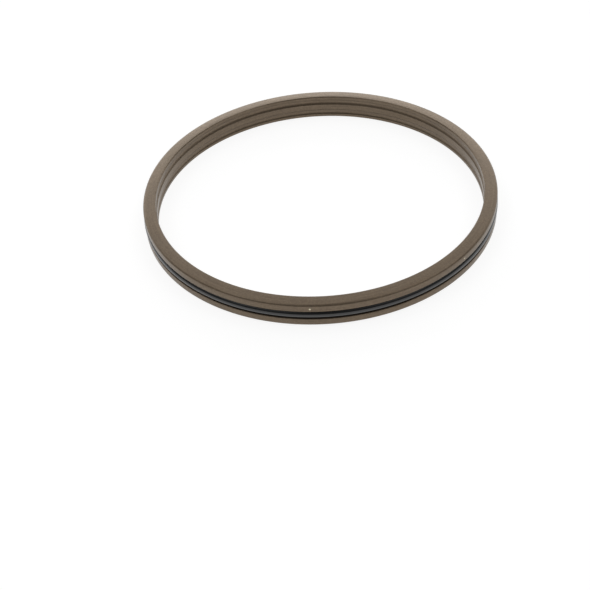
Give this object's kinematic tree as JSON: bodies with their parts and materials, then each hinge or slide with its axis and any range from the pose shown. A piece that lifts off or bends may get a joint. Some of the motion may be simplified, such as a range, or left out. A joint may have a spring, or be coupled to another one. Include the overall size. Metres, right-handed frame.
{
  "type": "seal ring",
  "caption": "Turned plastic slipper seal ring for a piston, with two concave seats inside and a crowned rubber ring in a groove round its outer face.",
  "frame": {"origin": "on the ring's axis, in the plane of the lower end face", "axes": "+Z along the ring's axis, from the lower end face to the upper one; the ring is the same all round"},
  "size_m": [0.1254, 0.1254, 0.009],
  "materials": {
    "filled_plastic": "satin, grey-brown",
    "black_rubber": "satin, moulded"
  },
  "bodies": {
    "root": {"slipper_ring": "filled_plastic", "rubber_ring": "black_rubber"}
  },
  "joints": []
}
